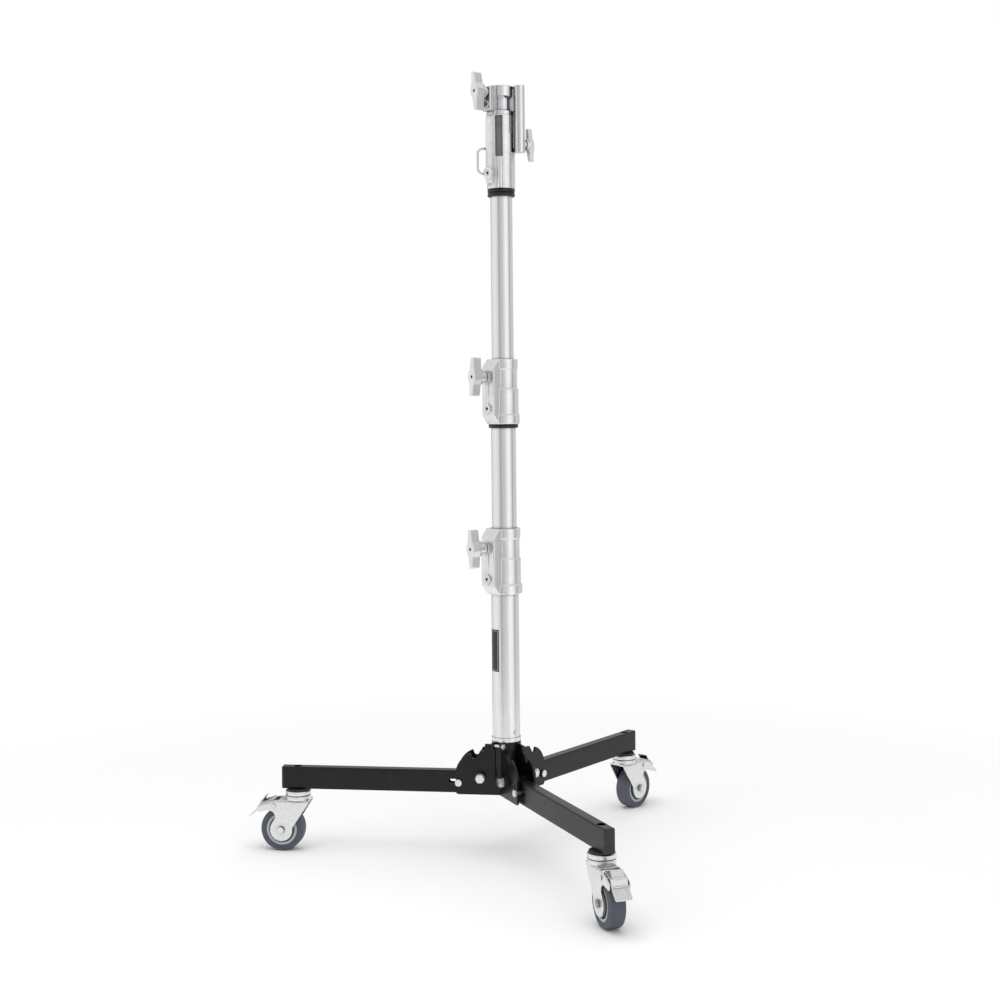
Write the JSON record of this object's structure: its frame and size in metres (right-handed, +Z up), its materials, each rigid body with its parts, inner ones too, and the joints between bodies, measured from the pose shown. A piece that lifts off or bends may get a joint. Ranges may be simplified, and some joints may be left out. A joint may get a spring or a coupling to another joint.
{
  "type": "rolling studio background stand",
  "caption": "Low rolling studio stand with a folding tripod base on braked swivel casters, telescoping chrome column, T-handle clamps and a head with junior and baby receivers.",
  "frame": {"origin": "on the column's axis at floor level, where the wheels touch the ground", "axes": "+Z up along the column; the legs point to 270, 150 and 30 degrees in the XY plane"},
  "size_m": [0.8494, 0.7366, 1.421],
  "materials": {
    "chrome": "satin chrome plated steel tube",
    "cast": "shot-blasted zinc and aluminium casting",
    "zinc": "bright zinc plate",
    "black_coat": "fine-textured black powder coat",
    "black_plastic": "moulded black plastic",
    "grey_plastic": "dark grey bearing plastic",
    "rubber": "black rubber",
    "tread": "blue-grey non-marking rubber",
    "rim": "light grey polypropylene"
  },
  "bodies": {
    "root": {"hub_sleeve": "black_coat", "hub_ears_front": "black_coat", "hub_ears_left": "black_coat", "hub_ears_right": "black_coat", "pivot_bolts": "zinc", "pivot_spacers": "black_plastic", "base_screws": "zinc", "base_tube": "chrome", "base_rim": "chrome", "base_collar": "cast", "base_bush": "grey_plastic"},
    "base_knob": {"base_knob": "cast"},
    "middle_riser": {"middle_riser": "chrome", "middle_foot_ring": "grey_plastic", "middle_collar": "cast", "middle_bush": "grey_plastic", "middle_rubber_ring": "rubber", "middle_set_screw": "zinc"},
    "middle_knob": {"middle_knob": "cast"},
    "upper_riser": {"upper_riser": "chrome", "upper_foot_ring": "grey_plastic", "upper_rubber_rings": "rubber", "head_casting": "cast", "head_bush": "grey_plastic", "head_screws": "zinc", "junior_receiver": "chrome", "side_socket": "chrome", "safety_loop": "zinc"},
    "head_knob": {"head_knob": "cast"},
    "side_knob": {"side_knob": "cast"},
    "leg_front": {"leg_tube_front": "black_coat", "end_cap_front": "black_plastic", "caster_stem_front": "zinc", "caster_spacer_front": "black_plastic"},
    "lock_front": {"lock_pin_front": "zinc"},
    "swivel_front": {"fork_front": "zinc", "axle_front": "zinc"},
    "wheel_front": {"tyre_front": "tread", "wheel_core_front": "rim"},
    "pedal_front": {"brake_pedal_front": "zinc"},
    "leg_left": {"leg_tube_left": "black_coat", "end_cap_left": "black_plastic", "caster_stem_left": "zinc", "caster_spacer_left": "black_plastic"},
    "lock_left": {"lock_pin_left": "zinc"},
    "swivel_left": {"fork_left": "zinc", "axle_left": "zinc"},
    "wheel_left": {"tyre_left": "tread", "wheel_core_left": "rim"},
    "pedal_left": {"brake_pedal_left": "zinc"},
    "leg_right": {"leg_tube_right": "black_coat", "end_cap_right": "black_plastic", "caster_stem_right": "zinc", "caster_spacer_right": "black_plastic"},
    "lock_right": {"lock_pin_right": "zinc"},
    "swivel_right": {"fork_right": "zinc", "axle_right": "zinc"},
    "wheel_right": {"tyre_right": "tread", "wheel_core_right": "rim"},
    "pedal_right": {"brake_pedal_right": "zinc"}
  },
  "joints": [
    {"name": "middle_riser_slide", "type": "slide", "parent": "root", "child": "middle_riser", "axis": [0, 0, 1], "range_m": [-0.1815, 0.165], "stiffness_N_per_m": 20, "springref_m": 1.89},
    {"name": "upper_riser_slide", "type": "slide", "parent": "middle_riser", "child": "upper_riser", "axis": [0, 0, 1], "range_m": [-0.295, 0.13], "stiffness_N_per_m": 20, "springref_m": 1.14},
    {"name": "base_knob_turn", "type": "hinge", "parent": "root", "child": "base_knob", "pos_m": [-0.04769, -0.01504, 0.563], "axis": [-0.9537, -0.3007, 0], "range_deg": [0, 270]},
    {"name": "middle_knob_turn", "type": "hinge", "parent": "middle_riser", "child": "middle_knob", "pos_m": [-0.04769, -0.01504, 0.872], "axis": [-0.9537, -0.3007, 0], "range_deg": [0, 270]},
    {"name": "head_knob_turn", "type": "hinge", "parent": "upper_riser", "child": "head_knob", "pos_m": [-0.03815, -0.01203, 1.3865], "axis": [-0.9537, -0.3007, 0], "range_deg": [0, 270]},
    {"name": "side_knob_turn", "type": "hinge", "parent": "upper_riser", "child": "side_knob", "pos_m": [0.02581, -0.0272, 1.293], "axis": [0.9763, 0.2164, 0], "range_deg": [0, 270]},
    {"name": "leg_front_fold", "type": "hinge", "parent": "root", "child": "leg_front", "pos_m": [0, -0.045, 0.146], "axis": [-1, 0, 0], "range_deg": [0, 90], "stiffness_Nm_per_rad": 15, "springref_deg": -114.59},
    {"name": "lock_front_slide", "type": "slide", "parent": "leg_front", "child": "lock_front", "axis": [0, -1, 0], "range_m": [0, 0.015], "stiffness_N_per_m": 400, "springref_m": -0.002},
    {"name": "swivel_front_turn", "type": "hinge", "parent": "leg_front", "child": "swivel_front", "pos_m": [0, -0.3905, 0.1], "axis": [0, 0, 1], "continuous": true},
    {"name": "wheel_front_roll", "type": "hinge", "parent": "swivel_front", "child": "wheel_front", "pos_m": [-0.00199, -0.41893, 0.04], "axis": [0.9976, -0.0698, 0], "continuous": true},
    {"name": "pedal_front_press", "type": "hinge", "parent": "swivel_front", "child": "pedal_front", "pos_m": [-0.00293, -0.4324, 0.084], "axis": [0.9976, -0.0698, 0], "range_deg": [0, 12]},
    {"name": "leg_left_fold", "type": "hinge", "parent": "root", "child": "leg_left", "pos_m": [-0.03897, 0.0225, 0.146], "axis": [0.5, 0.866, 0], "range_deg": [0, 90], "stiffness_Nm_per_rad": 15, "springref_deg": -114.59},
    {"name": "lock_left_slide", "type": "slide", "parent": "leg_left", "child": "lock_left", "axis": [-0.866, 0.5, 0], "range_m": [0, 0.015], "stiffness_N_per_m": 400, "springref_m": -0.002},
    {"name": "swivel_left_turn", "type": "hinge", "parent": "leg_left", "child": "swivel_left", "pos_m": [-0.33818, 0.19525, 0.1], "axis": [0, 0, 1], "continuous": true},
    {"name": "wheel_left_roll", "type": "hinge", "parent": "swivel_left", "child": "wheel_left", "pos_m": [-0.36261, 0.20993, 0.04], "axis": [-0.515, -0.8572, 0], "continuous": true},
    {"name": "pedal_left_press", "type": "hinge", "parent": "swivel_left", "child": "pedal_left", "pos_m": [-0.37418, 0.21688, 0.084], "axis": [-0.515, -0.8572, 0], "range_deg": [0, 12]},
    {"name": "leg_right_fold", "type": "hinge", "parent": "root", "child": "leg_right", "pos_m": [0.03897, 0.0225, 0.146], "axis": [0.5, -0.866, 0], "range_deg": [0, 90], "stiffness_Nm_per_rad": 15, "springref_deg": -114.59},
    {"name": "lock_right_slide", "type": "slide", "parent": "leg_right", "child": "lock_right", "axis": [0.866, 0.5, 0], "range_m": [0, 0.015], "stiffness_N_per_m": 400, "springref_m": -0.002},
    {"name": "swivel_right_turn", "type": "hinge", "parent": "leg_right", "child": "swivel_right", "pos_m": [0.33818, 0.19525, 0.1], "axis": [0, 0, 1], "continuous": true},
    {"name": "wheel_right_roll", "type": "hinge", "parent": "swivel_right", "child": "wheel_right", "pos_m": [0.36401, 0.20729, 0.04], "axis": [-0.4226, 0.9063, 0], "continuous": true},
    {"name": "pedal_right_press", "type": "hinge", "parent": "swivel_right", "child": "pedal_right", "pos_m": [0.37625, 0.213, 0.084], "axis": [-0.4226, 0.9063, 0], "range_deg": [0, 12]}
  ]
}
